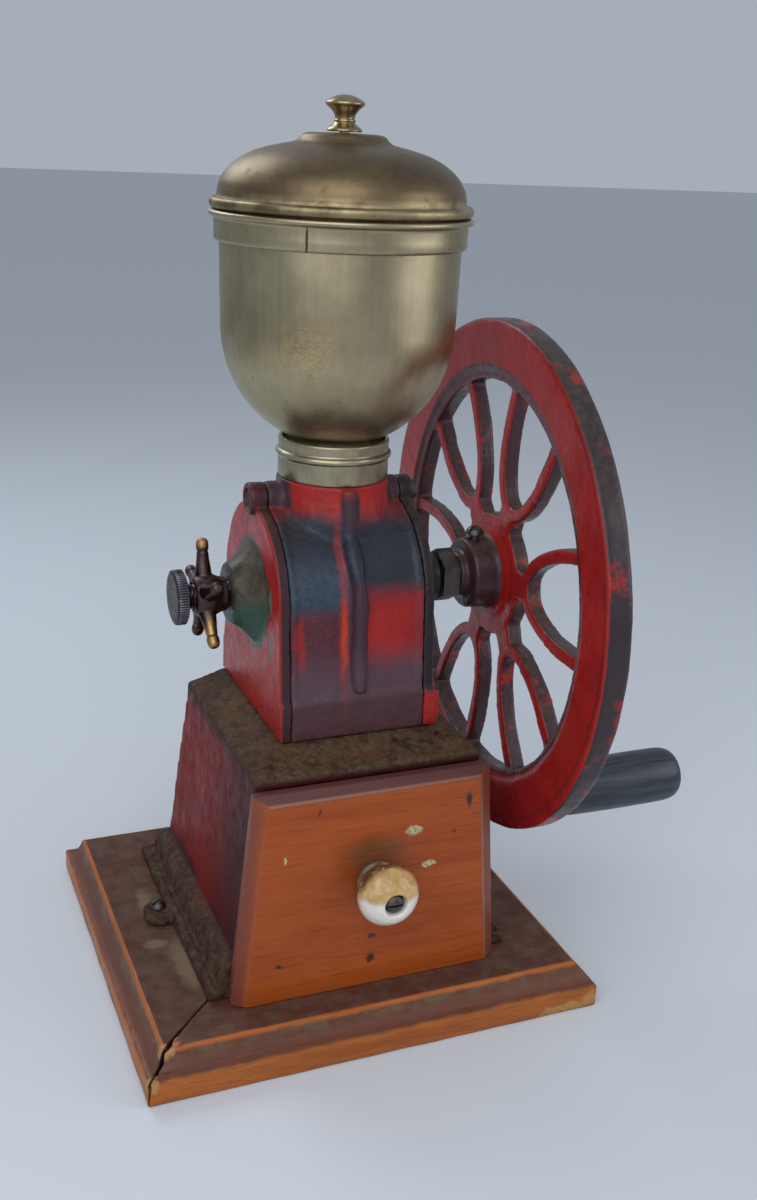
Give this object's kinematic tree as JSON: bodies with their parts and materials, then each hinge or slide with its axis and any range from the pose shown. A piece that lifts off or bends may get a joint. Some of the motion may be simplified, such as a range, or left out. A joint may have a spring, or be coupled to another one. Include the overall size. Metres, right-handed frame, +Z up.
{
  "type": "coffee grinder mill",
  "caption": "Table-top coffee grinder mill with a hand-turned flywheel, hopper with a lid, cast grinder housing and a catch drawer in a tapered iron box on a wooden base.",
  "frame": {"origin": "middle of the wooden base's underside, on the surface the mill stands on", "axes": "+Z up, +X from the adjusting screw towards the flywheel along the axle's direction, -Y towards the front, where the drawer opens"},
  "size_m": [0.2459, 0.2178, 0.3537],
  "materials": {
    "wood_rail": "worn varnish with dusty edges",
    "wood_panel": "bare aged wood",
    "wood_front": "worn orange-brown varnish",
    "iron_red": "glossy dark red enamel paint, worn",
    "iron_black": "worn black and dark red paint on cast iron",
    "steel": "worn steel",
    "dark_steel": "blackened steel",
    "brass": "satin brass with a greenish patina",
    "bronze": "dark worn brass",
    "porcelain": "white glaze, stained",
    "grip_black": "turned wood, black satin lacquer"
  },
  "bodies": {
    "frame": {"base_rail_front": "wood_rail", "base_rail_back": "wood_rail", "base_rail_left": "wood_rail", "base_rail_right": "wood_rail", "base_panel": "wood_panel", "box_casting": "iron_red", "base_screw_left": "steel", "base_screw_right": "steel", "grinder_housing": "iron_black", "left_cover": "iron_red", "right_cover": "iron_black", "left_cover_bolt": "dark_steel", "right_cover_bolt": "dark_steel", "housing_screw_front": "steel", "housing_screw_back": "steel", "outer_burr": "dark_steel", "bearing_bush": "bronze", "hopper_collar": "brass", "hopper_bowl": "brass", "hopper_rim_band": "brass"},
    "drawer": {"drawer_front": "wood_front", "drawer_side_left": "wood_panel", "drawer_side_right": "wood_panel", "drawer_back": "wood_panel", "drawer_bottom": "wood_panel", "drawer_knob": "porcelain", "drawer_knob_screw": "dark_steel", "drawer_knob_nut": "steel"},
    "lid": {"hopper_lid": "brass", "lid_knob": "brass", "lid_knob_nut": "brass"},
    "thrust": {"thrust_ball": "steel"},
    "adjuster": {"adjusting_screw": "dark_steel"},
    "lock_nut": {"star_lock_nut": "bronze"},
    "rotor": {"main_shaft": "steel", "inner_burr": "dark_steel", "burr_pin": "steel", "return_spring": "steel", "hub_lock_nut": "steel", "flywheel": "iron_red", "hub_set_screw": "dark_steel", "handle_spindle": "dark_steel"},
    "grip": {"handle_grip": "grip_black"}
  },
  "joints": [
    {"name": "drawer_slide", "type": "slide", "parent": "frame", "child": "drawer", "axis": [0, -1, 0], "range_m": [0, 0.085]},
    {"name": "lid_lift", "type": "slide", "parent": "frame", "child": "lid", "axis": [0, 0, 1], "range_m": [0, 0.05]},
    {"name": "thrust_slide", "type": "slide", "parent": "frame", "child": "thrust", "axis": [1, 0, 0], "range_m": [-0.0005, 0.001]},
    {"name": "adjust_turn", "type": "hinge", "parent": "thrust", "child": "adjuster", "pos_m": [-0.061, 0, 0.1665], "axis": [1, 0, 0], "range_deg": [-181, 361]},
    {"name": "lock_nut_turn", "type": "hinge", "parent": "frame", "child": "lock_nut", "pos_m": [-0.0486, 0, 0.1665], "axis": [1, 0, 0], "range_deg": [-90, 0]},
    {"name": "wheel_spin", "type": "hinge", "parent": "thrust", "child": "rotor", "pos_m": [0, 0, 0.1665], "axis": [1, 0, 0], "continuous": true},
    {"name": "grip_spin", "type": "hinge", "parent": "rotor", "child": "grip", "pos_m": [0.117, -0.0485, 0.0825], "axis": [1, 0, 0], "continuous": true}
  ],
  "couplings": [
    {"joint": "adjust_turn", "follows": "thrust_slide", "rad_per_m": 6283.2}
  ]
}
